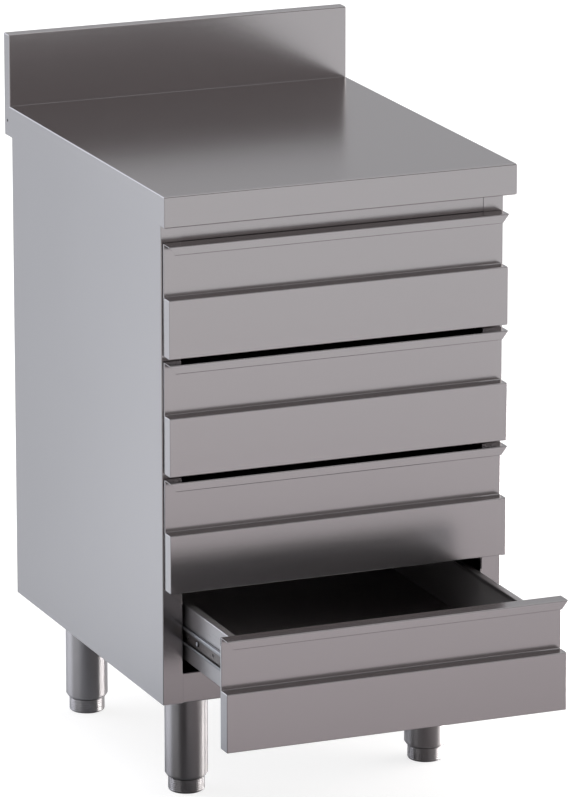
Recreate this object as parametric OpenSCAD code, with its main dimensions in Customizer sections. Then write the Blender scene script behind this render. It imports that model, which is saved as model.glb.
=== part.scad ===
// Stainless-steel drawer cabinet for a professional kitchen: a worktop with a rear upstand on a folded
// sheet body, four legs with screw feet, and four drawers on ball-bearing runners.
// Millimetres, +Z up, the fronts face -Y. The origin is on the floor under the middle of the worktop.

/* [Worktop] */
// Width of the worktop
top_w = 500; // [440:10:700]
// Depth of the worktop, from its front edge to the back of the upstand
top_d = 600; // [540:10:700]
// Height of the worktop above the floor with the feet screwed in
top_h = 850; // [820:5:920]
// Height of the skirt round the worktop
edge_h = 42; // [36:1:60]
// Height of the upstand above the worktop
upstand_h = 100; // [50:5:150]
// Thickness of the upstand
upstand_t = 20; // [12:1:30]
// Sheet thickness of the worktop
top_sheet = 1.2; // [0.8:0.1:1.5]
// Width of the skirt's return under the front edge
skirt_return = 22; // [10:1:24]
// Thickness of the board glued under the top sheet
board_t = 18; // [12:1:22]
// Diameter of the vent hole at each end of the upstand's foot
vent_d = 4; // [3:0.5:6]

/* [Body] */
// Overhang of the worktop past each side panel
side_overhang = 6.5; // [4:0.5:15]
// Overhang of the worktop past the stiles
front_overhang = 30; // [28:1:40]
// Overhang of the worktop past the back
rear_overhang = 10; // [4:1:30]
// Height of the body's underside above the floor
base_z = 153; // [130:1:180]
// Sheet thickness of the body
sheet = 1; // [0.8:0.1:1.5]
// Inner radius of every fold
fold_r = 0.6; // [0.5:0.1:1.5]
// Width of the stiles, folded from the side panels
stile_w = 28.5; // [26:0.5:32]
// Depth of the return behind a stile's inner edge
stile_return = 10; // [6:1:11]
// Width of the side panels' rear flanges
rear_flange = 20; // [12:1:30]
// Height of the bottom rail, the front fold of the bottom panel
base_h = 41.5; // [36:0.5:50]
// Depth of the returns behind the rails' edges
rail_return = 20; // [12:1:24]
// Width of the flanges that carry the worktop
rail_top = 30; // [22:1:34]
// How far the top rail shows between the worktop and the top drawer's lip
rail_reveal = 26.5; // [20:0.5:40]
// How far the top rail reaches down behind the lip
rail_overlap = 9.5; // [6:0.5:11]
// Height of the rear rail
rear_rail_h = 40; // [30:1:60]
// Width of the uprights that carry the runners
upright_w = 30; // [24:1:40]
// How far the top rail laps behind each stile
rail_lap = 5; // [3:0.5:5.5]
// Gap between sheets that meet in a corner
joint_gap = 0.3; // [0.2:0.1:0.5]

/* [Drawers] */
// Gap between one front and the next
front_gap = 7.5; // [5:0.5:10]
// Distance from a front's end to the side panel's face
front_inset = 2.5; // [1:0.5:6]
// Gap between a closed front and the stiles
front_clear = 1; // [0.5:0.1:2]
// Thickness of a front's recessed band
band_t = 3; // [2.5:0.1:5]
// Height from a front's top to the ledge, lip and recessed band together
band_h = 72; // [60:1:80]
// How far the lip reaches out from the band
lip_out = 21; // [16:0.5:24]
// Height of the lip's nose
nose_h = 6; // [4:0.5:8]
// Height of the lip's slanted underside
slant_h = 12; // [8:0.5:14]
// How far the lower panel stands out from the band
panel_out = 19; // [14:0.5:22]
// Height of the flange behind the lip
lip_flange = 12; // [8:1:13]
// Sheet thickness of fronts and boxes
drawer_sheet = 1; // [0.8:0.1:1.2]
// Height of a box
box_h = 78; // [70:1:84]
// Distance from a front's top to the top of its box
box_drop = 16.5; // [15:0.5:20]
// Gap between a box's side and the stile's edge
box_gap = 4.5; // [4.5:0.5:8]
// Gap between a box's back and the back panel
box_rear = 21; // [12:1:40]
// Width of the flange round the top of a box
box_flange = 11; // [8:1:16]
// Depth of the hem at the flange's inner edge
box_hem = 5; // [4:0.5:8]
// How far each drawer opens
travel = 375; // [300:5:385]
// How far the bottom drawer stands open
open_bottom = 197; // [0:1:300]

/* [Runners] */
// Height of a cabinet runner
runner_h = 35; // [34:0.5:40]
// Distance from a box's side to the upright
runner_t = 10.5; // [10.5:0.5:14]
// Sheet thickness of the runners
runner_sheet = 1.2; // [1:0.1:1.2]
// Depth of a drawer runner's flanges
rider_depth = 4.1; // [3.8:0.1:4.2]
// Height of the lips along a drawer runner's flanges
rider_lip = 4.5; // [3:0.5:6]
// Diameter of the balls
ball_d = 3.2; // [3:0.1:3.4]
// Gap between a ball and the two races it rolls on
ball_gap = 0.2; // [0.1:0.05:0.25]
// Number of balls in a row
balls = 5; // [3:1:6]
// Sheet thickness of a ball cage
cage_sheet = 0.6; // [0.4:0.1:0.7]
// How far the runners stop short of the box's back
runner_short = 30; // [20:5:60]
// Gap between a stile's return and the cabinet runners
runner_gap = 2; // [1:0.5:4]
// Distance from the uprights to the cabinet runners' ends
upright_inset = 5; // [2:1:20]
// How far the runners' middle lies below the box's
runner_drop = 2; // [0:0.5:8]
// Gap between a cabinet runner's lips and the box's side
lip_gap = 0.8; // [0.6:0.1:1]
// Gap between a ball cage's edges and the box's side
cage_gap = 1.2; // [1:0.1:1.4]
// Distance from a box's front to the first screw of its runners
screw_front = 35; // [25:5:60]
// Distance from a box's front to the second screw
screw_middle = 155; // [120:5:200]
// Distance from a box's front to the third screw
screw_rear = 394; // [300:2:400]

/* [Legs and feet] */
// Diameter of the legs
leg_d = 58; // [50:1:64]
// Wall thickness of the legs
leg_wall = 1.5; // [1.2:0.1:2.5]
// Distance from a leg's axis to the side panel's face
leg_side = 68.5; // [62:0.5:90]
// Distance from a leg's axis to the body's front or back
leg_end = 91.5; // [85:0.5:120]
// Height of the taper at the foot of a leg
taper_h = 4.5; // [3:0.5:8]
// How much narrower a leg's end is than the leg
taper_d = 6; // [3:0.5:7]
// Side of the square plate on top of a leg
plate_w = 80; // [76:1:86]
// Thickness of that plate
plate_t = 3; // [2:0.5:4]
// Spacing of the plate's bolts
bolt_pitch = 64; // [62:1:68]
// Diameter of the leg bolts
bolt_d = 6; // [5:0.5:8]
// Width of the channels that carry the legs
channel_w = 90; // [88:1:100]
// Sheet thickness of those channels
channel_sheet = 2; // [1.5:0.5:3]
// Diameter of the feet
foot_d = 49; // [40:1:50]
// Height of a foot
foot_h = 20; // [16:1:30]
// Radius round a foot's sole
sole_r = 3.5; // [2:0.5:6]
// Gap between a foot and its leg with the foot screwed in
foot_gap = 1; // [0.3:0.1:1]
// Diameter of a foot's stem
stem_d = 16; // [12:1:20]
// Length of a foot's stem
stem_l = 64; // [50:1:80]
// Height of the threaded bush in a leg's end
bush_h = 20; // [14:1:26]

/* [Screws] */
// Shank diameter of the screws
screw_d = 4; // [3:0.5:4.5]
// Head diameter of the screws
head_d = 7; // [6:0.5:8]
// Head height of the screws
head_h = 2; // [1.2:0.1:2.2]
// Length of the screws' shanks in the uprights
upright_screw_l = 8; // [5:1:12]
// Length of the screws' shanks in the boxes' sides
box_screw_l = 4; // [3:0.5:5]
// Length of the screws' shanks in the board
board_screw_l = 11; // [8:1:12]
// Clearance round shanks, stems and bushes, on the radius
fit = 0.05; // [0.05:0.01:0.1]

/* [Hidden] */
$fn = 48;
drawers = 4;
// Segments in a fold, and the steel's colours
fold_steps = 4;
steel = [0.66, 0.65, 0.66];
zinc = [0.74, 0.75, 0.77];
// Faces of the worktop
top_front = -top_d / 2;
top_back = top_d / 2;
top_low = top_h - edge_h;
board_low = top_h - top_sheet - board_t;
board_x = top_w / 2 - top_sheet - fold_r - joint_gap;
board_front = top_front + top_sheet + fold_r + joint_gap;
upstand_front = top_back - upstand_t;
// Faces of the body
body_x = top_w / 2 - side_overhang;
body_front = top_front + front_overhang;
body_back = top_back - rear_overhang;
body_in = body_x - sheet;
panel_back = body_back - sheet;
frame_back = panel_back - sheet;
floor_z = base_z + base_h;
mouth_x = body_x - stile_w;
// Fronts, from the bottom rail's foot to the reveal under the worktop
lip_top = top_low - rail_reveal;
rail_low = lip_top - rail_overlap;
rail_front = body_front + sheet;
pitch = (lip_top - base_z + front_gap) / drawers;
front_h = pitch - front_gap;
front_x = body_x - front_inset;
front_back = body_front - front_clear;
band_y = front_back - band_t;
nose_y = band_y - lip_out;
panel_y = band_y - panel_out;
band_top = -nose_h - slant_h;
// Boxes and runners
box_x = mouth_x - box_gap;
box_front = band_y + drawer_sheet;
box_back = frame_back - box_rear;
upright_x = box_x + runner_t;
runner_front = body_front + stile_return + runner_gap;
runner_back = box_back - runner_short;
rider_front = box_front + drawer_sheet;
race_w = runner_h / 2 - runner_sheet;
ball_w = race_w - ball_gap - ball_d / 2;
rider_w = ball_w - ball_d / 2 - ball_gap;
ball_u = rider_depth - ball_d / 6;
cage_w = ball_w + cage_sheet / 2;
cage_u = ball_u + ball_d / 2 + fit + 2 * cage_sheet;
cage_mid = (runner_front + runner_back) / 2;
cage_l = runner_back - runner_front - travel;
lip_u = ball_u - runner_sheet;
upright_front_y = runner_front + upright_inset;
upright_rear_y = runner_back - upright_inset - upright_w;
rider_screws = [screw_front, screw_middle, screw_rear];
// Legs and feet
leg_x = body_x - leg_side;
leg_front_y = body_front + leg_end;
leg_rear_y = body_back - leg_end;
leg_end_z = foot_h + foot_gap;
leg_top_z = base_z - plate_t;

// Height of a drawer's lip, drawer 1 at the top
function lip_z(n) = lip_top - (n - 1) * pitch;
// Height of a box's underside, and of the middle of its runners
function box_z(n) = lip_z(n) - box_drop - box_h;
function runner_z(n) = box_z(n) + box_h / 2 - runner_drop;
// How far a drawer stands open in the rest position
function opened(n) = n == drawers ? open_bottom : 0;

// Unit vector from a to b, and the vector turned a quarter to its left
function heading(a, b) = (b - a) / norm(b - a);
function left(v) = [-v[1], v[0]];
// A path moved t to its left, with mitred corners
function beside(p, t) = [for (i = [0:len(p) - 1])
    let (m = left(heading(p[max(i - 1, 0)], p[max(i, 1)])),
         n = left(heading(p[min(i, len(p) - 2)], p[min(i + 1, len(p) - 1)])))
    p[i] + t * (m + n) / (1 + m * n)];
// The points of a fillet of radius r at corner b between a and c
function fillet(a, b, c, r) = r == 0 ? [b] :
    let (u = heading(b, a), v = heading(b, c), half = acos(u * v) / 2,
         o = b + heading([0, 0], u + v) * r / sin(half),
         s = b + u * r / tan(half) - o, e = b + v * r / tan(half) - o,
         sweep = sign(cross(s, e)) * (180 - 2 * half), from = atan2(s[1], s[0]))
    [for (k = [0:fold_steps]) let (turn = from + sweep * k / fold_steps) o + r * [cos(turn), sin(turn)]];
// A path whose left turns get radius r_left and whose right turns get radius r_right
function bent(p, r_left, r_right) = [for (i = [0:len(p) - 1])
    each i == 0 || i == len(p) - 1 ? [p[i]] :
    fillet(p[i - 1], p[i], p[i + 1], cross(p[i] - p[i - 1], p[i + 1] - p[i]) > 0 ? r_left : r_right)];
function reversed(p) = [for (i = [len(p) - 1:-1:0]) p[i]];
// Outline of a sheet of thickness t folded along p, with its material on the left of p
function folded(p, t) =
    concat(bent(p, fold_r + t, fold_r), reversed(bent(beside(p, t), fold_r, fold_r + t)));
// A closed outline with a radius for each corner
function rounded(p, radii) = [for (i = [0:len(p) - 1])
    each fillet(p[(i + len(p) - 1) % len(p)], p[i], p[(i + 1) % len(p)], radii[i])];

// Extrudes an outline drawn in Y and Z across the width w
module across(w) rotate([90, 0, 90]) translate([0, 0, -w / 2]) linear_extrude(w) children();
// Extrudes an outline drawn in X and Z from y0 to y1
module along(y0, y1) translate([0, y1, 0]) rotate([90, 0, 0]) linear_extrude(y1 - y0) children();
// Draws children, built for the left side, on the left (-1) or the right (1)
module on_side(s) if (s < 0) children(); else mirror([1, 0, 0]) children();
// A block between two corners
module block(a, b) translate(a) cube(b - a);
// A cylinder from point a, h long, towards -X or +X
module pin_x(a, h, d) translate(a) rotate([0, h < 0 ? -90 : 90, 0]) cylinder(h = abs(h), d = d);
// Moves a drawer's pieces to where it stands, the cages half as far
module drawn(n, share = 1) translate([0, -opened(n) * share, 0]) children();

// Worktop sheet with its skirts and the hollow upstand, welded and ground at the corners
module worktop() color(steel) difference() {
    union() {
        intersection() {
            across(top_w) polygon(rounded(
                [[top_front, top_low], [top_front, top_h], [upstand_front + 4, top_h],
                 [upstand_front + 4, top_low]],
                [fold_r + top_sheet, fold_r + top_sheet, 0, 0]));
            along(top_front, top_back) polygon(rounded(
                [[-top_w / 2, top_low], [-top_w / 2, top_h], [top_w / 2, top_h], [top_w / 2, top_low]],
                [0, fold_r + top_sheet, fold_r + top_sheet, 0]));
        }
        across(top_w) polygon(rounded(
            [[upstand_front, top_low], [upstand_front, top_h + upstand_h], [top_back, top_h + upstand_h],
             [top_back, top_low]],
            [0, fold_r, fold_r, 0]));
    }
    across(top_w - 2 * top_sheet) polygon(rounded([
        [top_front + top_sheet, top_low + top_sheet], [top_front + top_sheet, top_h - top_sheet],
        [upstand_front + top_sheet, top_h - top_sheet],
        [upstand_front + top_sheet, top_h + upstand_h - top_sheet],
        [top_back - top_sheet, top_h + upstand_h - top_sheet], [top_back - top_sheet, top_low - 1],
        [top_front + skirt_return, top_low - 1], [top_front + skirt_return, top_low + top_sheet]],
        [fold_r, fold_r, 0, 0, 0, 0, 0, 0]));
    for (s = [-1, 1])
        pin_x([s * (top_w / 2 + 1), top_back - upstand_t * 0.6, top_h - edge_h / 2], -s * 4, vent_d);
}

// Board that stiffens the worktop and rests on the body
module worktop_board() color("burlywood") difference() {
    block([-board_x, board_front, board_low], [board_x, upstand_front, top_h - top_sheet]);
    worktop_screw_places() cylinder(h = board_screw_l, d = screw_d + 2 * fit);
}

// Puts children where the worktop's screws enter the board
module worktop_screw_places()
    for (x = [-0.6, 0, 0.6] * body_x, y = [body_front + rail_top * 0.6, frame_back - rail_top * 0.7])
        translate([x, y, board_low]) children();

// Side panel: a flange at the back and a stile at the front, with its return along the drawers' opening
module side_panel(s) color(steel) on_side(s) {
    panel_strip(base_z, floor_z, panel_path);
    panel_strip(floor_z, rail_low, concat(panel_path, [[-mouth_x, body_front + stile_return]]));
    panel_strip(rail_low, board_low, panel_path);
}
panel_path = [[-body_x + rear_flange, body_back], [-body_x, body_back], [-body_x, body_front],
              [-mouth_x, body_front]];
module panel_strip(low, high, p) translate([0, 0, low]) linear_extrude(high - low) polygon(folded(p, sheet));

// Back panel, spot-welded to the flanges from inside
module back_panel() color(steel)
    block([-body_in + fold_r + joint_gap, frame_back, base_z],
          [body_in - fold_r - joint_gap, panel_back, board_low]);

// Bottom panel: a pan whose front fold is the bottom rail, welded flush between the stiles
module bottom_panel() color(steel) difference() {
    across(2 * (body_in - joint_gap)) polygon(folded(
        [[frame_back - rail_return, base_z], [frame_back, base_z], [frame_back, floor_z],
         [body_front, floor_z], [body_front, base_z], [body_front + rail_return, base_z]], sheet));
    for (s = [-1, 1]) on_side(s)
        block([-body_x, body_front - 1, base_z - 1],
              [-mouth_x, body_front + sheet + fold_r + joint_gap, floor_z + 1]);
}

// Top rail, lapped behind the stiles
module top_rail() color(steel) difference() {
    across(2 * (mouth_x + rail_lap)) polygon(folded(
        [[rail_front + rail_top, board_low], [rail_front, board_low], [rail_front, rail_low],
         [rail_front + rail_return, rail_low]], sheet));
    worktop_screw_places() translate([0, 0, -sheet - 1]) cylinder(h = sheet + 2, d = screw_d + 2 * fit);
}

// Rear rail between the side panels
module rear_rail() color(steel) difference() {
    across(2 * (body_in - joint_gap)) polygon(folded(
        [[frame_back - rail_return, board_low - rear_rail_h], [frame_back, board_low - rear_rail_h],
         [frame_back, board_low], [frame_back - rail_top, board_low]], sheet));
    worktop_screw_places() translate([0, 0, -sheet - 1]) cylinder(h = sheet + 2, d = screw_d + 2 * fit);
}

// Upright channel on the left side panel, its front edge at y
module upright(s, y) color(steel) difference() {
    on_side(s) translate([0, 0, floor_z]) linear_extrude(board_low - floor_z)
        polygon(folded([[-body_in, y], [-upright_x, y], [-upright_x, y + upright_w],
                        [-body_in, y + upright_w]], sheet));
    for (n = [1:drawers])
        pin_x([s * (upright_x - 1), y + upright_w / 2, runner_z(n)], s * 4, screw_d + 2 * fit);
}

// Channel under the bottom panel, over the two legs of a side
module leg_channel(s) color(steel) difference() {
    along(body_front + rail_return + 1, frame_back - rail_return - 1)
        polygon(folded([[s * leg_x - channel_w / 2, floor_z - sheet], [s * leg_x - channel_w / 2, base_z],
                        [s * leg_x + channel_w / 2, base_z], [s * leg_x + channel_w / 2, floor_z - sheet]],
                       channel_sheet));
    for (y = [leg_front_y, leg_rear_y]) leg_bolt_places(s * leg_x, y)
        translate([0, 0, base_z - 1]) cylinder(h = channel_sheet + 2, d = bolt_d + 2 * fit);
}

// Puts children at the four bolts of the leg at x, y
module leg_bolt_places(x, y)
    for (i = [-1, 1], j = [-1, 1]) translate([x + i * bolt_pitch / 2, y + j * bolt_pitch / 2, 0]) children();

// Puts children on the axes of all four legs
module leg_places() for (x = [-leg_x, leg_x], y = [leg_front_y, leg_rear_y]) translate([x, y, 0]) children();

// Leg: a tube with a tapered end, welded under its plate
module leg(x, y) color(steel) difference() {
    translate([x, y, 0]) union() {
        rotate_extrude() polygon([
            [leg_d / 2 - leg_wall, leg_top_z], [leg_d / 2, leg_top_z], [leg_d / 2, leg_end_z + taper_h],
            [leg_d / 2 - taper_d / 2, leg_end_z], [leg_d / 2 - taper_d / 2 - leg_wall, leg_end_z],
            [leg_d / 2 - leg_wall, leg_end_z + taper_h]]);
        block([-plate_w / 2, -plate_w / 2, leg_top_z], [plate_w / 2, plate_w / 2, base_z]);
    }
    leg_bolt_places(x, y) translate([0, 0, leg_top_z - 1]) cylinder(h = plate_t + 2, d = bolt_d + 2 * fit);
}

// Bolts through the leg plates and channels, with their nuts above
module leg_bolts() color(zinc)
    for (x = [-leg_x, leg_x], y = [leg_front_y, leg_rear_y]) leg_bolt_places(x, y) {
        translate([0, 0, leg_top_z - bolt_d * 0.6]) cylinder(h = bolt_d * 0.6, d = bolt_d * 1.8, $fn = 6);
        translate([0, 0, leg_top_z]) cylinder(h = plate_t + channel_sheet + bolt_d, d = bolt_d);
        translate([0, 0, base_z + channel_sheet]) cylinder(h = bolt_d * 0.8, d = bolt_d * 1.8, $fn = 6);
    }

// Threaded bushes pressed into the leg ends above the taper
module leg_bushes() color(zinc) leg_places() rotate_extrude() polygon([
    [stem_d / 2 + fit, leg_end_z + taper_h], [leg_d / 2 - leg_wall, leg_end_z + taper_h],
    [leg_d / 2 - leg_wall, leg_end_z + taper_h + bush_h], [stem_d / 2 + fit, leg_end_z + taper_h + bush_h]]);

// Foot: a turned cup with a rounded sole and a threaded stem
module foot(x, y) color(steel) translate([x, y, 0]) rotate_extrude() polygon(rounded(
    [[0, 0], [foot_d / 2, 0], [foot_d / 2, foot_h], [stem_d / 2, foot_h], [stem_d / 2, foot_h + stem_l - 1],
     [stem_d / 2 - 1, foot_h + stem_l], [0, foot_h + stem_l]],
    [0, sole_r, 0.5, 0, 0, 0, 0]));

// Screws that hold the worktop's board to the rails
module worktop_screws() color(zinc) worktop_screw_places() {
    translate([0, 0, -sheet - head_h]) cylinder(h = head_h, d = head_d);
    translate([0, 0, -sheet]) cylinder(h = board_screw_l, d = screw_d);
}

// A point in a left runner's section: u out from the box's side, w up from the runner's middle
function at_runner(u, w, n) = [-box_x - u, runner_z(n) + w];

// Cabinet runner: a channel open towards the box, with slanted lips that keep the balls in
module cabinet_runner(s, n) difference() {
    on_side(s) along(runner_front, runner_back) polygon(folded(
        [at_runner(lip_gap, runner_h / 2 - lip_u + lip_gap, n), at_runner(lip_u, runner_h / 2, n),
         at_runner(runner_t, runner_h / 2, n), at_runner(runner_t, -runner_h / 2, n),
         at_runner(lip_u, -runner_h / 2, n), at_runner(lip_gap, -runner_h / 2 + lip_u - lip_gap, n)],
        runner_sheet));
    for (y = [upright_front_y, upright_rear_y])
        pin_x([s * (upright_x + 1), y + upright_w / 2, runner_z(n)], -s * 4, screw_d + 2 * fit);
}
module cabinet_runners(n) color(zinc) for (s = [-1, 1]) cabinet_runner(s, n);

// Screws through the cabinet runners into the uprights
module runner_screws() color(zinc)
    for (n = [1:drawers], s = [-1, 1], y = [upright_front_y, upright_rear_y]) {
        pin_x([s * (upright_x - runner_sheet), y + upright_w / 2, runner_z(n)], -s * head_h, head_d);
        pin_x([s * (upright_x - runner_sheet), y + upright_w / 2, runner_z(n)], s * upright_screw_l, screw_d);
    }

// Drawer runner: the inner channel, its flanges lipped, screwed to the box's side
module drawer_runner(s, n) difference() {
    on_side(s) along(rider_front, runner_back) polygon(folded(
        [at_runner(rider_depth, -rider_w + rider_lip, n), at_runner(rider_depth, -rider_w, n),
         at_runner(0, -rider_w, n), at_runner(0, rider_w, n), at_runner(rider_depth, rider_w, n),
         at_runner(rider_depth, rider_w - rider_lip, n)], runner_sheet));
    for (y = rider_screws)
        pin_x([s * (box_x - 1), box_front + y, runner_z(n)], s * 4, screw_d + 2 * fit);
}

module drawer_runners(n) color(zinc) drawn(n) for (s = [-1, 1]) drawer_runner(s, n);

// Screws through the drawer runners into the box's sides
module box_screws(n) color(zinc) drawn(n) for (s = [-1, 1], y = rider_screws) {
    pin_x([s * (box_x + runner_sheet), box_front + y, runner_z(n)], s * head_h, head_d);
    pin_x([s * (box_x + runner_sheet), box_front + y, runner_z(n)], -s * box_screw_l, screw_d);
}

// Ball cages: thin channels with a pocket for each ball
module ball_cages(n) color(steel) drawn(n, 0.5) for (s = [-1, 1]) difference() {
    on_side(s) along(cage_mid - cage_l / 2, cage_mid + cage_l / 2) polygon(folded(
        [at_runner(cage_gap, cage_w, n), at_runner(cage_u, cage_w, n), at_runner(cage_u, -cage_w, n),
         at_runner(cage_gap, -cage_w, n)], cage_sheet));
    ball_places(s, n) cylinder(h = 2 * cage_sheet, d = ball_d + 2 * fit, center = true);
}

// Puts children at the middle of each ball of the runner on side s
module ball_places(s, n) for (i = [0:balls - 1], w = [-ball_w, ball_w])
    translate([s * (box_x + ball_u), cage_mid + (i - (balls - 1) / 2) * cage_l / balls, runner_z(n) + w])
        children();

module runner_balls(n) color("silver") drawn(n, 0.5) for (s = [-1, 1]) ball_places(s, n)
    sphere(d = ball_d, $fn = 24);

// Drawer front: one folded sheet, from the flange behind the lip down to the return under the lower panel,
// with its ends closed
module drawer_front(n) color(steel) drawn(n) translate([0, 0, lip_z(n)]) {
    intersection() {
        across(2 * front_x) polygon(folded(
            [[front_back, -lip_flange], [front_back, 0], [nose_y, 0], [nose_y, -nose_h], [band_y, band_top],
             [band_y, -band_h], [panel_y, -band_h], [panel_y, -front_h], [front_back, -front_h]],
            drawer_sheet));
        union() {
            block([-front_x, nose_y, band_top - fold_r], [front_x, front_back, 0]);
            front_outline(band_y, band_top, -band_h + fold_r);
            front_outline(panel_y, -band_h + fold_r, -front_h);
        }
    }
    for (s = [-1, 1]) on_side(s) {
        translate([-front_x + drawer_sheet / 2, 0, 0]) across(drawer_sheet) polygon(rounded(
            [[front_back, band_top], [front_back, 0], [nose_y, 0], [nose_y, -nose_h], [band_y, band_top]],
            [0, 0, fold_r + drawer_sheet, fold_r + drawer_sheet, 0]));
        front_end(band_y, band_top, -band_h);
        front_end(panel_y, -band_h, -front_h);
    }
}

// Room that a front takes with its face at y between two heights, its ends rounded by the fold
module front_outline(y, high, low) translate([0, 0, low]) linear_extrude(high - low) polygon(rounded(
    [[-front_x, front_back], [-front_x, y], [front_x, y], [front_x, front_back]],
    [0, fold_r + drawer_sheet, fold_r + drawer_sheet, 0]));

// Left end return of a front with its face at y, between two heights
module front_end(y, high, low) translate([0, 0, low]) linear_extrude(high - low) polygon(folded(
    [[-front_x, front_back], [-front_x, y], [-front_x + 6, y]], drawer_sheet));

// Drawer box: one sheet folded into the bottom and the sides, with flanges and hems along the top
module drawer_box(n) color(steel) drawn(n) difference() {
    translate([0, 0, box_z(n)]) difference() {
        along(box_front, box_back) polygon(folded(
            [[-box_x + box_flange, box_h - box_hem], [-box_x + box_flange, box_h], [-box_x, box_h],
             [-box_x, 0], [box_x, 0], [box_x, box_h], [box_x - box_flange, box_h],
             [box_x - box_flange, box_h - box_hem]], drawer_sheet));
        translate([0, 0, drawer_sheet + fold_r]) linear_extrude(box_h) {
            mitred(box_front, 1, 0);
            mitred(box_back, -1, 0);
        }
    }
    for (s = [-1, 1], y = rider_screws)
        pin_x([s * (box_x - drawer_sheet - 1), box_front + y, runner_z(n)], s * 4, screw_d + 2 * fit);
}

// Front and rear walls of a box: they stand on its bottom, and their flanges are mitred to its own
module box_ends(n) color(steel) drawn(n) translate([0, 0, box_z(n)])
    for (end = [[box_front, 1], [box_back, -1]]) intersection() {
        across(2 * box_x) polygon(folded(end_path(end[0], end[1]), drawer_sheet));
        along(box_front, box_back) polygon(rounded(
            [[-box_x, drawer_sheet], [box_x, drawer_sheet], [box_x, box_h], [-box_x, box_h]],
            [drawer_sheet + fold_r + joint_gap, drawer_sheet + fold_r + joint_gap, 0, 0]));
        linear_extrude(box_h) mitred(end[0], end[1], joint_gap);
    }

// Path of an end wall whose outer face is at y and whose flange runs inward, towards +Y (1) or -Y (-1)
function end_path(y, inward) = let (
    p = [[y, drawer_sheet], [y, box_h], [y + inward * box_flange, box_h],
         [y + inward * box_flange, box_h - box_hem]])
    inward < 0 ? p : reversed(p);

// Plan of a box's end with mitred corners, kept back by gap from the sides
module mitred(y, inward, gap) polygon([
    [-box_x - 1 + gap, y - inward], [box_x + 1 - gap, y - inward],
    [box_x - box_flange - 2 - gap, y + inward * (box_flange + 2)],
    [-box_x + box_flange + 2 + gap, y + inward * (box_flange + 2)]]);

worktop();
worktop_board();
side_panel(-1);  // side_panel_left
side_panel(1);  // side_panel_right
back_panel();
bottom_panel();
top_rail();
rear_rail();
upright(-1, upright_front_y);  // front_upright_left
upright(1, upright_front_y);  // front_upright_right
upright(-1, upright_rear_y);  // rear_upright_left
upright(1, upright_rear_y);  // rear_upright_right
leg_channel(-1);  // leg_channel_left
leg_channel(1);  // leg_channel_right
leg(-leg_x, leg_front_y);  // leg_front_left
leg(leg_x, leg_front_y);  // leg_front_right
leg(-leg_x, leg_rear_y);  // leg_rear_left
leg(leg_x, leg_rear_y);  // leg_rear_right
leg_bushes();
leg_bolts();
worktop_screws();
runner_screws();
foot(-leg_x, leg_front_y);  // foot_front_left
foot(leg_x, leg_front_y);  // foot_front_right
foot(-leg_x, leg_rear_y);  // foot_rear_left
foot(leg_x, leg_rear_y);  // foot_rear_right
for (n = [1:drawers]) {
    cabinet_runners(n);
    drawer_front(n);
    drawer_box(n);
    box_ends(n);
    drawer_runners(n);
    box_screws(n);
    ball_cages(n);
    runner_balls(n);
}
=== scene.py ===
"""Looks, light and camera of a stainless-steel drawer cabinet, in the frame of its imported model.

Sizes are in millimetres and in the object's own frame: +X to the right, the fronts face -Y, +Z up, and the
origin on the floor under the middle of the worktop. Where a CAD node gives a size, it is read from the frame.
"""

from __future__ import annotations

import logging
import math
from collections.abc import Callable, Iterable
from dataclasses import dataclass
from enum import Enum
from typing import Any

import bmesh
import bpy
from mathutils import Matrix, Vector

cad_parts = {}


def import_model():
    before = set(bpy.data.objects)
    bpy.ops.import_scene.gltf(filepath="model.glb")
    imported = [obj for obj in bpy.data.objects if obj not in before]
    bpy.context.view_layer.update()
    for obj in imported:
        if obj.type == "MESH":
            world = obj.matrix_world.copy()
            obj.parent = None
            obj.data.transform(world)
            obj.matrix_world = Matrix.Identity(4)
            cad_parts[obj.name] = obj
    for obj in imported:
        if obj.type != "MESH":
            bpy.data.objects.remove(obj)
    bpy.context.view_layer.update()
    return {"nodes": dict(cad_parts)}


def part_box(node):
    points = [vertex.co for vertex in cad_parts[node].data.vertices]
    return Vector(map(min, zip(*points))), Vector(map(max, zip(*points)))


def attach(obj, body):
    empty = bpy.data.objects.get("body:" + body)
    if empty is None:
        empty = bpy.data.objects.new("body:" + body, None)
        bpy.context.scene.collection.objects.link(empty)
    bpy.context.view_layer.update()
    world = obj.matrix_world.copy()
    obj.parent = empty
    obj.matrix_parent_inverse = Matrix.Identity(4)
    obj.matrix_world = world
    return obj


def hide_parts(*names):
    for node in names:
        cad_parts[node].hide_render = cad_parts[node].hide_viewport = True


LOG = logging.getLogger("drawer_cabinet")
MM = 0.001
# Distances in millimetres within which a place counts as on a plane, and as another place
NEAR = 0.1
SAME = 0.01
WHITE = (1.0, 1.0, 1.0, 1.0)
# Range in which most of a noise pattern lies
CLOUDS = (0.3, 0.7)
SIDES = (("left", -1), ("right", 1))
DRAWERS = (1, 2, 3, 4)
Point = tuple[float, float]
Triple = tuple[float, float, float]
Socket = bpy.types.NodeSocket
Tree = bpy.types.NodeTree


def linear(colour: str, share: float = 1.0) -> tuple[float, float, float, float]:
    """Turn an sRGB hex colour into the linear colour that a shader takes.

    Args:
        colour: Six hex digits after a hash, such as "#A3A1A2".
        share: What its light is scaled by.

    Returns:
        Linear red, green, blue and an alpha of 1.
    """
    parts = [int(colour[i : i + 2], 16) / 255 for i in (1, 3, 5)]
    red, green, blue = (c / 12.92 if c <= 0.04045 else ((c + 0.055) / 1.055) ** 2.4 for c in parts)
    return red * share, green * share, blue * share, 1.0


def feed(tree: Tree, node: bpy.types.Node, links: dict[str | int, Any]) -> None:
    """Link or set the inputs of a node.

    Args:
        tree: The node tree.
        node: The node.
        links: Inputs by name or place, each with an output socket to link or a value to set.
    """
    for place, value in links.items():
        if isinstance(value, Socket):
            tree.links.new(value, node.inputs[place])
        else:
            node.inputs[place].default_value = value


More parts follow.
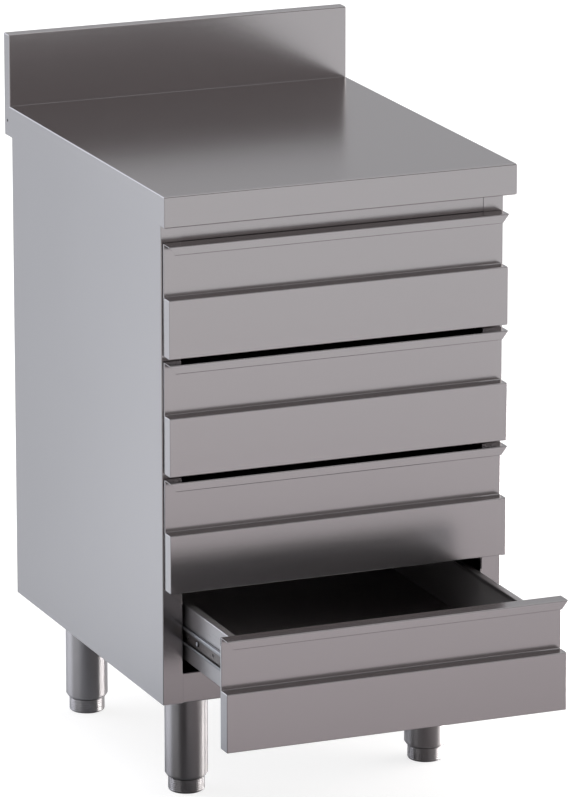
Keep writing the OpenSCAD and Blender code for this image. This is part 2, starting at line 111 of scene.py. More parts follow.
def add_node(
    tree: Tree,
    kind: str,
    settings: dict[str, Any] | None = None,
    links: dict[str | int, Any] | None = None,
) -> bpy.types.Node:
    """Add a shader node with its settings and links.

    Args:
        tree: The node tree that gets the node.
        kind: Blender's type name of the node.
        settings: Attributes of the node by name.
        links: Inputs by name or place, each with an output socket to link or a value to set.

    Returns:
        The new node.
    """
    made = tree.nodes.new(kind)
    for name, value in (settings or {}).items():
        setattr(made, name, value)
    feed(tree, made, links or {})
    return made


def noise(tree: Tree, place: Socket, scale: float, detail: float = 2.0, roughness: float = 0.5) -> Socket:
    """Add a cloudy pattern, with so many clouds a metre, and return its lightness."""
    links = {"Vector": place, "Scale": scale, "Detail": detail, "Roughness": roughness}
    return add_node(tree, "ShaderNodeTexNoise", links=links).outputs["Fac"]


def ranged(
    tree: Tree, value: Socket, given: Point, wanted: Point = (0.0, 1.0), kind: str = "LINEAR"
) -> Socket:
    """Map a value from the range that is given to the range that is wanted."""
    links: dict[str | int, Any] = {"Value": value, "From Min": given[0], "From Max": given[1]}
    links |= {"To Min": wanted[0], "To Max": wanted[1]}
    return add_node(tree, "ShaderNodeMapRange", {"interpolation_type": kind}, links).outputs["Result"]


def mixed(tree: Tree, factor: Socket, first: Any, second: Any, blend: str = "MIX") -> Socket:
    """Mix two colours, each a value or a socket, and return the result."""
    settings = {"data_type": "RGBA", "blend_type": blend}
    return add_node(tree, "ShaderNodeMix", settings, {"Factor": factor, 6: first, 7: second}).outputs[2]


def raised(tree: Tree, height: Socket, strength: float, distance: float) -> Socket:
    """Turn a pattern into relief as deep as a distance in millimetres, and return its normal."""
    links = {"Height": height, "Strength": strength, "Distance": distance * MM}
    return add_node(tree, "ShaderNodeBump", links=links).outputs["Normal"]


def placed(name: str, data: Any) -> bpy.types.Object:
    """Stand a new object with some data at the scene's origin, and return it."""
    made = bpy.data.objects.new(name, data)
    bpy.context.scene.collection.objects.link(made)
    return made


def extent(node: str) -> tuple[Vector, Vector]:
    """Read where a CAD node lies.

    Args:
        node: The node's name.

    Returns:
        Its lowest and its highest corner, in millimetres.
    """
    low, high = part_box(node)
    return Vector(low) / MM, Vector(high) / MM


@dataclass(frozen=True)
class Finish:
    """Finish of a surface, named for its real material."""

    name: str
    # Less than 1 where a pickled, unground skin also scatters light without a direction
    metal: float = 1.0

    def material(self) -> bpy.types.Material:
        """Make the finish's material, or return the one that was made before."""
        if self.name in bpy.data.materials:
            return bpy.data.materials[self.name]
        made = bpy.data.materials.new(self.name)
        made.use_nodes = True
        tree = made.node_tree
        place = add_node(tree, "ShaderNodeTexCoord").outputs["Object"]
        feed(tree, tree.nodes["Principled BSDF"], {"Metallic": self.metal} | self.paint(tree, place))
        return made

    def paint(self, tree: Tree, place: Socket) -> dict[str | int, Any]:
        """Draw the finish.

        Args:
            tree: The material's node tree.
            place: Position on the object.

        Returns:
            Inputs of the shader by name, each with a socket or a value.
        """
        raise NotImplementedError


class Grain(Enum):
    """Direction of the grinding marks on a piece of steel, as the axis along which they run."""

    ACROSS = 0
    DEEP = 1
    UPRIGHT = 2


@dataclass(frozen=True)
class GroundSteel(Finish):
    """Chromium-nickel stainless sheet, belt-ground at the mill.

    The belt leaves fine parallel marks. They blur what the metal mirrors, so that the sheet shows broad
    soft reflections of the room and no sharp ones.
    """

    colour: str = "#A3A1A2"
    roughness: float = 0.2
    grain: Grain = Grain.ACROSS
    # The real marks are 0.05 to 0.1 mm wide, too fine for the render, so they are drawn this wide
    mark_mm: float = 0.8
    stroke_mm: float = 90.0
    # Strength of their relief, and its depth
    depth: float = 0.03
    relief_mm: float = 0.05
    unevenness: float = 0.03
    tones: Point = (0.96, 1.04)
    # Slow changes a hand wide, from rolling, wiping and handling, and their share beside the marks
    patch_mm: float = 160.0
    patch_share: float = 0.4

    def paint(self, tree: Tree, place: Socket) -> dict[str | int, Any]:
        """Let the grinding marks change the roughness, the tone and the height."""
        scales = [1 / (self.mark_mm * MM)] * 3
        scales[self.grain.value] = 1 / (self.stroke_mm * MM)
        turned = add_node(tree, "ShaderNodeMapping", links={"Vector": place, "Scale": scales})
        marks = noise(tree, turned.outputs["Vector"], 1.0, detail=3.0, roughness=0.6)
        patches = noise(tree, place, 1 / (self.patch_mm * MM))
        shares = {"Factor": self.patch_share, 2: marks, 3: patches}
        both = add_node(tree, "ShaderNodeMix", {"data_type": "FLOAT"}, shares).outputs["Result"]
        spread = self.unevenness / 2
        return {
            "Base Color": mixed(tree, both, *(linear(self.colour, tone) for tone in self.tones)),
            "Roughness": ranged(tree, both, CLOUDS, (self.roughness - spread, self.roughness + spread)),
            "Normal": raised(tree, marks, self.depth, self.relief_mm),
        }


@dataclass(frozen=True)
class TurnedSteel(GroundSteel):
    """Stainless tube or bar, ground or turned while it spins.

    Its marks run round the piece. They smear every reflection along the axis into upright streaks, which is
    what makes a leg look banded from left to right and even from top to bottom.
    """

    smear: float = 0.95

    def paint(self, tree: Tree, place: Socket) -> dict[str | int, Any]:
        """Stretch the sheet's shine along the upright axis."""
        upright = add_node(tree, "ShaderNodeCombineXYZ", links={"Z": 1.0}).outputs["Vector"]
        return super().paint(tree, place) | {"Anisotropic": self.smear, "Tangent": upright}


@dataclass(frozen=True)
class ZincPlate(Finish):
    """Mild steel strip, bright zinc plated and blue passivated.

    The plate is a little bluer and paler than stainless steel, with a cloudy bloom where the bath's crystals
    differ, and no grinding marks.
    """

    name: str = "zinc_plated_strip"
    colour: str = "#8F9194"
    roughness: float = 0.34
    # Zinc bloom is made of patches about this wide
    bloom_mm: float = 14.0
    tones: Point = (0.86, 1.1)
    # Roughness that the bloom adds where it is dark and where it is pale
    changes: Point = (0.08, -0.06)

    def paint(self, tree: Tree, place: Socket) -> dict[str | int, Any]:
        """Let the bloom change the tone and the roughness."""
        bloom = noise(tree, place, 1 / (self.bloom_mm * MM), detail=6.0, roughness=0.65)
        dark, pale = (self.roughness + change for change in self.changes)
        return {
            "Base Color": mixed(tree, bloom, *(linear(self.colour, tone) for tone in self.tones)),
            "Roughness": ranged(tree, bloom, CLOUDS, (dark, pale)),
        }


@dataclass(frozen=True)
class PolishedSteel(Finish):
    """Through-hardened bearing steel, lapped to a mirror.

    A film of grease on it breaks the mirror in faint, slow smears.
    """

    name: str = "polished_bearing_steel"
    colour: str = "#C4C3C3"
    roughness: float = 0.08
    # Smears of grease on a ball are about this wide, fade out over this range of the pattern and add this
    # much roughness
    smear_mm: float = 1.5
    film: Point = (0.4, 0.7)
    smeared: float = 0.18

    def paint(self, tree: Tree, place: Socket) -> dict[str | int, Any]:
        """Let the film of grease change the roughness."""
        film = noise(tree, place, 1 / (self.smear_mm * MM))
        return {
            "Base Color": linear(self.colour),
            "Roughness": ranged(tree, film, self.film, (self.roughness, self.roughness + self.smeared)),
        }


@dataclass(frozen=True)
class ParticleBoard(Finish):
    """Pressed particle board with raw sawn edges.

    Flat chips a few millimetres long lie in a resin ground, so its face is a dull, dry mix of straw and
    brown.
    """

    name: str = "pressed_particle_board"
    metal: float = 0.0
    pale: str = "#CBB083"
    dark: str = "#8E6B43"
    roughness: float = 0.85
    # Chips in the core are about this long, and a third as thick
    chip_mm: float = 4.0
    # Strength of their relief, and its depth
    depth: float = 0.4
    relief_mm: float = 0.3

    def paint(self, tree: Tree, place: Socket) -> dict[str | int, Any]:
        """Lay chips that differ in tone and height."""
        size = 1 / (self.chip_mm * MM)
        lying = add_node(tree, "ShaderNodeMapping", links={"Vector": place, "Scale": (size, size, size * 3)})
        links = {"Vector": lying.outputs["Vector"], "Scale": 1.0, "Randomness": 1.0}
        chips = add_node(tree, "ShaderNodeTexVoronoi", links=links).outputs
        split = add_node(tree, "ShaderNodeSeparateColor", links={"Color": chips["Color"]})
        return {
            "Base Color": mixed(tree, split.outputs["Red"], linear(self.dark), linear(self.pale)),
            "Roughness": self.roughness,
            "Normal": raised(tree, chips["Distance"], self.depth, self.relief_mm),
        }


WORKTOP_STEEL = GroundSteel("stainless_sheet_worktop", grain=Grain.ACROSS)
BODY_STEEL = GroundSteel("stainless_sheet_body", grain=Grain.UPRIGHT)
RAIL_STEEL = GroundSteel("stainless_sheet_rails", grain=Grain.ACROSS)
FRONT_STEEL = GroundSteel("stainless_sheet_fronts", grain=Grain.ACROSS)
BOX_STEEL = GroundSteel("stainless_sheet_box_outside", grain=Grain.DEEP, roughness=0.28, metal=0.86)
# The box's inner face keeps the mill's pickled skin, which scatters more of the light that falls in; its
# colour, paler than the outside's, is painted light that lifts the shade inside the box
BOX_INSIDE = GroundSteel(
    "stainless_sheet_pickled", colour="#ACAAAB", grain=Grain.DEEP, roughness=0.48, metal=0.6
)
CHANNEL_STEEL = GroundSteel("stainless_sheet_channels", grain=Grain.UPRIGHT, roughness=0.28)
LEG_STEEL = TurnedSteel("stainless_tube_ground_round", roughness=0.38, mark_mm=0.6)
FOOT_STEEL = TurnedSteel("stainless_bar_turned", roughness=0.38, mark_mm=0.6)
CAGE_STEEL = GroundSteel("stamped_spring_strip", colour="#9C9A98", roughness=0.34, grain=Grain.DEEP)
ZINC = ZincPlate()
# Darker inside the channels: a thin brownish film of runner grease where the balls drag it, and painted shade
# of the recess
GREASED = ZincPlate("zinc_plated_strip_greased", colour="#6B6664", roughness=0.32, bloom_mm=6.0)
BALL_STEEL = PolishedSteel()
BOARD = ParticleBoard()


class View(Enum):
    """Plane in which a profile is drawn: its first axis, its second, and the one that crosses the plane."""

    SIDE = ((0, 1, 0), (0, 0, 1), (1, 0, 0))
    FRONT = ((1, 0, 0), (0, 0, 1), (0, 1, 0))
    PLAN = ((1, 0, 0), (0, 1, 0), (0, 0, 1))

    def axes(self) -> tuple[Vector, Vector, Vector]:
        """Return the three axes as vectors."""
        right, up, across = (Vector(axis) for axis in self.value)
        return right, up, across


@dataclass(frozen=True)
class Gauge:
    """Sheet of one thickness, with the inner radius of its folds, in millimetres."""

    thickness: float
    fold: float

    def outer(self) -> float:
        """Return the radius of a fold's outer face."""
        return self.thickness + self.fold


class Form:
    """A piece in the making: its mesh, in millimetres, and the steps that shape it."""

    FOLD_STEPS = 6
    SOFT_STEPS = 4
    HOLE_STEPS = 24
    RIM_STEPS = 2
    RIM_DEGREES = 40
    # Edges that turn by more than this many radians are sharp
    SHARP = 0.4
    # Distance in millimetres within which corners become one
    MERGE = 0.001

    def __init__(self) -> None:
        """Start with no shape."""
        self.mesh = bmesh.new()

    def shift(self, drawn: list[Any], move: Vector) -> None:
        """Move the corners among the parts that an operator returned."""
        moved = [part for part in drawn if isinstance(part, bmesh.types.BMVert)]
        bmesh.ops.translate(self.mesh, verts=moved, vec=move)

    def bevel(self, geom: list[Any], radius: float, steps: int, affect: str) -> None:
        """Round corners or edges.

        Args:
            geom: The corners or edges.
            radius: Width of the rounding.
            steps: Facets in it.
            affect: "VERTICES" or "EDGES".
        """
        bmesh.ops.bevel(
            self.mesh,
            geom=geom,
            offset=radius,
            offset_type="OFFSET",
            segments=steps,
            profile=0.5,
            affect=affect,
            material=-1,
        )

    def folded(self, view: View, points: list[Point], gauge: Gauge, low: float, high: float) -> None:
        """Fold a strip of sheet along a path and keep its outer face.

        Args:
            view: Plane of the path.
            points: Corners of the path, with the sheet's material on its left.
            gauge: Thickness and folds of the sheet.
            low: Start of the strip across that plane.
            high: End of the strip.
        """
        right, up, across = view.axes()
        corners = [self.mesh.verts.new(right * a + up * b + across * low) for a, b in points]
        for pair in zip(corners, corners[1:]):
            self.mesh.edges.new(pair)
        for before, at, after, corner in zip(points, points[1:], points[2:], corners[1:]):
            into = Vector(at) - Vector(before)
            out = Vector(after) - Vector(at)
            turn = into.angle_signed(out)
            radius = gauge.outer() if turn < 0 else gauge.fold
            self.bevel([corner], radius * math.tan(abs(turn) / 2), self.FOLD_STEPS, "VERTICES")
        path = [edge for edge in self.mesh.edges if not edge.link_faces]
        drawn = bmesh.ops.extrude_edge_only(self.mesh, edges=path)["geom"]
        self.shift(drawn, across * (high - low))
        faces = [part for part in drawn if isinstance(part, bmesh.types.BMFace)]
        bmesh.ops.recalc_face_normals(self.mesh, faces=faces)
        first = Vector(points[1]) - Vector(points[0])
        outward = right * first.y - up * first.x
        start = min(faces, key=lambda face: (face.calc_center_median() - corners[0].co).length)
        if start.normal.dot(outward) < 0:
            bmesh.ops.reverse_faces(self.mesh, faces=faces)

    def prism(self, view: View, points: list[Point], low: float, high: float) -> None:
        """Draw a closed outline out into a solid.

        Args:
            view: Plane of the outline.
            points: Corners of the outline.
            low: Start of the solid across that plane.
            high: End of the solid.
        """
        right, up, across = view.axes()
        corners = [self.mesh.verts.new(right * a + up * b + across * low) for a, b in points]
        face = self.mesh.faces.new(corners)
        drawn = bmesh.ops.extrude_face_region(self.mesh, geom=[face])["geom"]
        self.shift(drawn, across * (high - low))
        bmesh.ops.recalc_face_normals(self.mesh, faces=self.mesh.faces[:])

    def turned(
        self,
        points: list[Point],
        centre: Point,
        steps: int,
        closed: bool = True,
        place: Matrix | None = None,
    ) -> None:
        """Turn an outline round an upright axis.

        Args:
            points: Radius and height of each corner.
            centre: X and Y of the axis.
            steps: Facets in a turn.
            closed: Whether the outline returns to its first corner, as a tube's does.
            place: Where the turned shape is put afterwards, or None to leave it.
        """
        others = set(self.mesh.verts)
        corners = [self.mesh.verts.new((centre[0] + r, centre[1], z)) for r, z in points]
        pairs = list(zip(corners, corners[1:]))
        if closed:
            pairs.append((corners[-1], corners[0]))
        outline = [self.mesh.edges.new(pair) for pair in pairs]
        before = set(self.mesh.faces)
        bmesh.ops.spin(
            self.mesh,
            geom=corners + outline,
            cent=(centre[0], centre[1], 0),
            axis=(0, 0, 1),
            angle=math.tau,
            steps=steps,
            use_merge=True,
        )
        added = [vert for vert in self.mesh.verts if vert not in others]
        bmesh.ops.remove_doubles(self.mesh, verts=added, dist=self.MERGE)
        new = [face for face in self.mesh.faces if face not in before]
        bmesh.ops.recalc_face_normals(self.mesh, faces=new)
        if place is not None:
            added = [vert for vert in self.mesh.verts if vert not in others]
            bmesh.ops.transform(self.mesh, matrix=place, verts=added)

    def cut(
        self,
        point: Iterable[float],
        normal: Iterable[float],
        where: Callable[[bmesh.types.BMFace], bool] | None = None,
    ) -> None:
        """Score the mesh along a plane.

        Args:
            point: A point of the plane.
            normal: The plane's direction.
            where: Test for the faces that are scored, or None for all.
        """
        faces = [face for face in self.mesh.faces if where is None or where(face)]
        # Dictionaries keep these in the order of the mesh, which sets would not
        edges = dict.fromkeys(edge for face in faces for edge in face.edges)
        verts = dict.fromkeys(vert for face in faces for vert in face.verts)
        bmesh.ops.bisect_plane(
            self.mesh,
            geom=[*faces, *edges, *verts],
            dist=self.MERGE,
            plane_co=Vector(point),
            plane_no=Vector(normal),
        )

    def drop(self, where: Callable[[Vector], bool]) -> None:
        """Remove the faces whose middle passes a test."""
        gone = [face for face in self.mesh.faces if where(face.calc_center_median())]
        bmesh.ops.delete(self.mesh, geom=gone, context="FACES")

    def stretch(self, where: Callable[[Vector, Vector], bool], move: Iterable[float]) -> None:
        """Draw open edges out into new faces.

        Args:
            where: Test of an edge's two ends.
            move: How far and which way they are drawn.
        """
        chosen = [e for e in self.mesh.edges if e.is_boundary and where(e.verts[0].co, e.verts[1].co)]
        self.shift(bmesh.ops.extrude_edge_only(self.mesh, edges=chosen)["geom"], Vector(move))

    def soften(self, radius: float, where: Callable[[Vector], bool] | None = None) -> None:
        """Round the sharp edges between faces.

        Args:
            radius: Width of the rounding.
            where: Test of an edge's middle, or None for every sharp edge.
        """
        chosen = []
        for edge in self.mesh.edges:
            middle = (edge.verts[0].co + edge.verts[1].co) / 2
            sharp = edge.is_manifold and edge.calc_face_angle(0.0) > self.SHARP
            if sharp and (where is None or where(middle)):
                chosen.append(edge)
        self.bevel(chosen, radius, self.SOFT_STEPS, "EDGES")

    def hole(self, centre: Iterable[float], normal: Iterable[float], diameter: float) -> None:
        """Pierce a round hole in a flat face.

        Args:
            centre: Middle of the hole, on the face.
            normal: Direction of the hole.
            diameter: Its diameter.
        """
        at = Vector(centre)
        through = Vector(normal).normalized()
        turn = through.to_track_quat("Z", "Y").to_matrix()

        def near(face: bmesh.types.BMFace) -> bool:
            """Tell whether a face lies in the hole's plane."""
            level = abs((face.verts[0].co - at).dot(through)) < SAME
            return level and abs(face.normal.dot(through)) > 0.99

        # The hole is bridged to a square patch that is half as wide again
        reach = diameter * 0.75
        for axis in (turn.col[0], turn.col[1]):
            for side in (-reach, reach):
                self.cut(at + axis * side, axis, near)
        patch = min(self.mesh.faces, key=lambda face: (face.calc_center_median() - at).length)
        rim = list(patch.edges)
        bmesh.ops.delete(self.mesh, geom=[patch], context="FACES_ONLY")
        place = Matrix.Translation(at) @ turn.to_4x4()
        ring = bmesh.ops.create_circle(
            self.mesh, cap_ends=False, radius=diameter / 2, segments=self.HOLE_STEPS, matrix=place
        )["verts"]
        edges = dict.fromkeys(edge for vert in ring for edge in vert.link_edges)
        bmesh.ops.bridge_loops(self.mesh, edges=[*rim, *edges])

    def mirrored(self) -> None:
        """Swap left and right."""
        bmesh.ops.scale(self.mesh, vec=(-1, 1, 1), verts=self.mesh.verts[:])
        bmesh.ops.reverse_faces(self.mesh, faces=self.mesh.faces[:])

    def piece(
        self,
        name: str,
        body: str,
        finish: Finish,
        slot: str,
        nodes: tuple[str, ...],
        sheet: float = 0.0,
        rim: float = 0.15,
        inside: Finish | None = None,
    ) -> bpy.types.Object:
        """Make the finished object.

        Args:
            name: The piece's name.
            body: Body that it moves with.
            finish: Its finish.
            slot: Material slot of the record; not used.
            nodes: CAD nodes that it stands for.
            sheet: Thickness that the sheet gets behind its outer face, or 0 for a solid.
            rim: Radius of the deburred rims.
            inside: Finish of the sheet's inner face, or None where it is the same.

        Returns:
            The object, at the origin.
        """
        for face in self.mesh.faces:
            face.smooth = True
        bmesh.ops.scale(self.mesh, vec=(MM, MM, MM), verts=self.mesh.verts[:])
        data = bpy.data.meshes.new(name)
        self.mesh.to_mesh(data)
        self.mesh.free()
        made = placed(name, data)
        if sheet:
            wall = made.modifiers.new("sheet", "SOLIDIFY")
            wall.thickness = sheet * MM
            wall.offset = -1
            wall.use_even_offset = True
            wall.use_quality_normals = True
            wall.material_offset = 1 if inside else 0
        if rim:
            deburred = made.modifiers.new("rims", "BEVEL")
            deburred.width = rim * MM
            deburred.segments = self.RIM_STEPS
            deburred.limit_method = "ANGLE"
            deburred.angle_limit = math.radians(self.RIM_DEGREES)
        flat = made.modifiers.new("flats", "WEIGHTED_NORMAL")
        flat.keep_sharp = True
        data.materials.append(finish.material())
        if inside:
            data.materials.append(inside.material())
        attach(made, body)
        if nodes:
            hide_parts(*nodes)
        LOG.info("%s rides on %s, in %s", name, body, finish.name)
        return made


@dataclass(frozen=True)
class Worktop:
    """Worktop sheet: a skirt all round, a hollow upstand at the back and a return under the front edge.

    Its corners are welded and ground, so they are rounded as its folds are.
    """

    gauge: Gauge = Gauge(1.2, 0.6)
    skirt: float = 42.0
    upstand: float = 20.0
    front_return: float = 22.0
    # Round hole in each end of the upstand's root, and its distance from the back
    vent: float = 4.0
    vent_in: float = 12.0
    root_fold: float = 0.3
    # How near to the root, and to an end, an edge is part of it
    root_reach: float = 2.0
    end_reach: float = 1.0

    def build(self) -> None:
        """Fold, weld and pierce the sheet."""
        low, high = extent("worktop")
        top = low.z + self.skirt
        step = high.y - self.upstand
        outline = [
            (low.y, low.z), (low.y, top), (step, top), (step, high.z), (high.y, high.z), (high.y, low.z),
        ]
        form = Form()
        form.prism(View.SIDE, outline, low.x, high.x)
        behind = low.y + self.front_return
        form.cut((0, behind, 0), (0, 1, 0), lambda face: face.normal.z < -0.9)
        form.drop(lambda at: at.z < low.z + NEAR and at.y > behind)

        def from_root(at: Vector) -> float:
            """Return how far a place is from the upstand's root."""
            return abs(at.y - step) + abs(at.z - top)

        form.soften(self.root_fold, lambda at: from_root(at) < NEAR)
        form.soften(
            self.gauge.outer(),
            lambda at: from_root(at) > self.root_reach or abs(at.x) > high.x - self.end_reach,
        )
        for x in (low.x, high.x):
            form.hole((x, high.y - self.vent_in, top - self.skirt / 2), (1, 0, 0), self.vent)
        form.piece(
            "worktop_sheet", "cabinet", WORKTOP_STEEL, "worktop_steel", ("worktop",), self.gauge.thickness
        )


@dataclass(frozen=True)
class Carcass:
    """Sheet body: side panels with their stiles, the back, the bottom pan and the top rail."""

    gauge: Gauge = Gauge(1.0, 0.6)
    stile_return: float = 10.0
    rear_flange: float = 20.0
    rail_return: float = 20.0
    joint: float = 0.3

    def build(self) -> None:
        """Make every sheet of the body."""
        for side, _ in SIDES:
            self.side_panel(side)
        self.back_panel()
        self.bottom_pan()
        self.top_rail()

    def keep(self, form: Form, name: str, finish: Finish, node: str) -> None:
        """Make a sheet of the body that stands for a CAD node."""
        form.piece(name, "cabinet", finish, "panel_steel", (node,), self.gauge.thickness)

    def side_panel(self, side: str) -> None:
        """Fold a side panel, with its return only along the drawers' opening.

        Args:
            side: "left" or "right".
        """
        low, high = extent("side_panel_left")
        sill = extent("bottom_panel")[1].z
        head = extent("top_rail")[0].z
        edge = high.x - self.gauge.outer()
        path = [
            (low.x + self.rear_flange, high.y), (low.x, high.y), (low.x, low.y), (high.x, low.y),
            (high.x, low.y + self.stile_return),
        ]
        form = Form()
        form.folded(View.PLAN, path, self.gauge, low.z, high.z)
        for height in (sill, head):
            form.cut((0, 0, height), (0, 0, 1))
        form.drop(lambda at: at.x > edge and at.y < 0 and not sill < at.z < head)

        def past_opening(a: Vector, b: Vector) -> bool:
            """Tell whether two ends lie on the stile's edge, over or under the drawers' opening."""
            on_edge = abs(a.x - edge) + abs(b.x - edge) < SAME
            return on_edge and a.y < 0 and not sill < (a.z + b.z) / 2 < head

        form.stretch(past_opening, (self.gauge.outer(), 0, 0))
        if side == "right":
            form.mirrored()
        self.keep(form, f"side_sheet_{side}", BODY_STEEL, f"side_panel_{side}")

    def back_panel(self) -> None:
        """Cut the flat back panel."""
        low, high = extent("back_panel")
        form = Form()
        form.folded(View.PLAN, [(high.x, high.y), (low.x, high.y)], self.gauge, low.z, high.z)
        self.keep(form, "back_sheet", BODY_STEEL, "back_panel")

    def bottom_pan(self) -> None:
        """Fold the bottom pan, whose front fold is the bottom rail between the stiles."""
        low, high = extent("bottom_panel")
        mouth = abs(extent("side_panel_left")[1].x)
        path = [
            (high.y - self.rail_return, low.z), (high.y, low.z), (high.y, high.z), (low.y, high.z),
            (low.y, low.z), (low.y + self.rail_return, low.z),
        ]
        notch = low.y + self.gauge.outer() + self.joint
        form = Form()
        form.folded(View.SIDE, path, self.gauge, low.x, high.x)
        form.cut((mouth, 0, 0), (1, 0, 0))
        form.cut((-mouth, 0, 0), (1, 0, 0))
        form.cut((0, notch, 0), (0, 1, 0))
        form.drop(lambda at: abs(at.x) > mouth and at.y < notch)
        self.keep(form, "bottom_sheet", RAIL_STEEL, "bottom_panel")

    def top_rail(self) -> None:
        """Fold the top rail behind the stiles."""
        low, high = extent("top_rail")
        path = [(high.y, high.z), (low.y, high.z), (low.y, low.z), (low.y + self.rail_return, low.z)]
        form = Form()
        form.folded(View.SIDE, path, self.gauge, low.x, high.x)
        self.keep(form, "top_rail_sheet", RAIL_STEEL, "top_rail")


@dataclass(frozen=True)
class Numbered:
    """Something that every drawer has, named with the drawer's number."""

    number: int

    def name(self, kind: str) -> str:
        """Return the name of this drawer's node, piece or body of a kind."""
        return f"{kind}_{self.number}"

    def keep(
        self, form: Form, kind: str, body: str, finish: Finish, slot: str, node: str, sheet: float = 0.0,
        **more: Any,
    ) -> None:
        """Make a piece of this drawer as Form.piece does, from the kinds of its name and of its node."""
        form.piece(self.name(kind), body, finish, slot, (self.name(node),), sheet, **more)


@dataclass(frozen=True)
class Drawer(Numbered):
    """One drawer: its folded front with the hooked lip, and its box of a tray and two end walls."""

    gauge: Gauge = Gauge(1.0, 0.6)
    # Front, from its back: the recessed band, the lip and the lower panel
    band: float = 3.0
    band_height: float = 72.0
    panel_out: float = 19.0
    lip_flange: float = 12.0
    lip_drop: float = 12.0
    lip_hem: float = 3.0
    # How far the ends of the drop are cut back at their lower corners
    lip_trim: float = 9.3
    lip_gauge: Gauge = Gauge(1.0, 0.2)
    front_fold: float = 1.2
    front_rim: float = 0.3
    # Box
    flange: float = 11.0
    hem: float = 5.0

    def build(self) -> None:
        """Make the front and the box."""
        self.front()
        self.tray()
        self.ends()

    def front(self) -> None:
        """Fold the front: band, ledge and lower panel with closed ends, under a hooked lip."""
        low, high = extent(self.name("drawer_front"))
        face = high.y - self.band
        ledge = high.z - self.band_height
        under = high.z - self.lip_gauge.thickness
        outline = [
            (high.y, under), (face, under), (face, ledge), (face - self.panel_out, ledge),
            (face - self.panel_out, low.z), (high.y, low.z),
        ]
        form = Form()
        form.prism(View.SIDE, outline, low.x, high.x)
        form.drop(lambda at: at.y > high.y - NEAR or at.z > under - NEAR)
        form.soften(self.front_fold)
        lip = [
            (high.y, high.z - self.lip_flange), (high.y, high.z), (low.y, high.z),
            (low.y, high.z - self.lip_drop), (low.y + self.lip_hem, high.z - self.lip_drop),
        ]
        form.folded(View.SIDE, lip, self.lip_gauge, low.x, high.x)

        def in_drop(at: Vector) -> bool:
            """Tell whether a place is on the lip's drop or hem."""
            return at.y < low.y + self.lip_hem + SAME and at.z > high.z - self.lip_drop - NEAR

        for _, side in SIDES:
            form.cut(
                (side * high.x, 0, high.z),
                (side * self.lip_drop, 0, -self.lip_trim),
                lambda part: in_drop(part.calc_center_median()),
            )
        slope = self.lip_trim / self.lip_drop
        form.drop(lambda at: in_drop(at) and abs(at.x) > high.x - (high.z - at.z) * slope)
        self.keep(
            form, "front_sheet", self.name("drawer"), FRONT_STEEL, "front_steel", "drawer_front",
            self.gauge.thickness, rim=self.front_rim,
        )

    def box_sheet(self, form: Form, kind: str, node: str) -> None:
        """Make a sheet of the box, pickled on its inner face, whose paler colour is painted light."""
        body = self.name("drawer")
        self.keep(form, kind, body, BOX_STEEL, "box_steel", node, self.gauge.thickness, inside=BOX_INSIDE)

    @staticmethod
    def mitre(
        form: Form, low: Vector, high: Vector, where: Callable[[bmesh.types.BMFace], bool] | None = None
    ) -> None:
        """Score the four corners of the box along their mitres.

        Args:
            form: The form that is scored.
            low: Lowest corner of the box's sheet.
            high: Its highest corner.
            where: Test for the faces that are scored, or None for all.
        """
        for x in (low.x, high.x):
            for y in (low.y, high.y):
                lean = math.copysign(1, x) * math.copysign(1, -y)
                form.cut((x, y, 0), (lean, 1, 0), where)

    def tray(self) -> None:
        """Fold the box's bottom and sides, with hemmed flanges that are mitred at their ends."""
        low, high = extent(self.name("drawer_box"))
        path = [
            (low.x + self.flange, high.z - self.hem), (low.x + self.flange, high.z), (low.x, high.z),
            (low.x, low.z), (high.x, low.z), (high.x, high.z), (high.x - self.flange, high.z),
            (high.x - self.flange, high.z - self.hem),
        ]
        form = Form()
        form.folded(View.FRONT, path, self.gauge, low.y, high.y)
        rim = high.z - self.hem - NEAR
        self.mitre(form, low, high, lambda part: part.calc_center_median().z > rim)
        form.drop(lambda at: at.z > rim and high.x - abs(at.x) > min(at.y - low.y, high.y - at.y))
        self.box_sheet(form, "box_tray", "drawer_box")

    def ends(self) -> None:
        """Fold the front and rear walls of the box, with the same hemmed flange."""
        low, high = extent(self.name("box_ends"))
        form = Form()
        for wall, inward in ((low.y, 1), (high.y, -1)):
            path = [
                (wall, low.z), (wall, high.z), (wall + inward * self.flange, high.z),
                (wall + inward * self.flange, high.z - self.hem),
            ]
            form.folded(View.SIDE, path if inward < 0 else path[::-1], self.gauge, low.x, high.x)
        self.mitre(form, low, high)
        form.drop(lambda at: high.x - abs(at.x) < min(at.y - low.y, high.y - at.y))
        self.box_sheet(form, "box_walls", "box_ends")


@dataclass(frozen=True)
class Fastener:
    """Screw, bolt or nut, turned with its head up. One with six sides has a hexagon head."""

    shank: float
    head: float
    head_height: float
    length: float
    sides: int = 16
    bevel: float = 0.6
    drive: float = 1.3
    tip: float = 0.5

    def put(self, form: Form, at: Iterable[float], toward: Iterable[float]) -> None:
        """Add one to a form.

        Args:
            form: The form that gets it.
            at: Middle of the face on which its head lies.
            toward: Direction in which its shank runs.
        """
        place = Matrix.Translation(Vector(at)) @ Vector(toward).to_track_quat("-Z", "Y").to_matrix().to_4x4()
        top = self.head_height
        outline = [(0, top - self.drive), (self.drive / 2, top - self.drive), (self.drive, top)]
        if self.sides == 6:
            outline = [(0, top)]
        outline += [
            (self.head / 2 - self.bevel, top), (self.head / 2, top - self.bevel), (self.head / 2, 0),
            (self.shank / 2, 0), (self.shank / 2, self.tip - self.length),
            (self.shank / 2 - self.tip, -self.length), (0, -self.length),
        ]
        form.turned(outline, (0, 0), self.sides, closed=False, place=place)


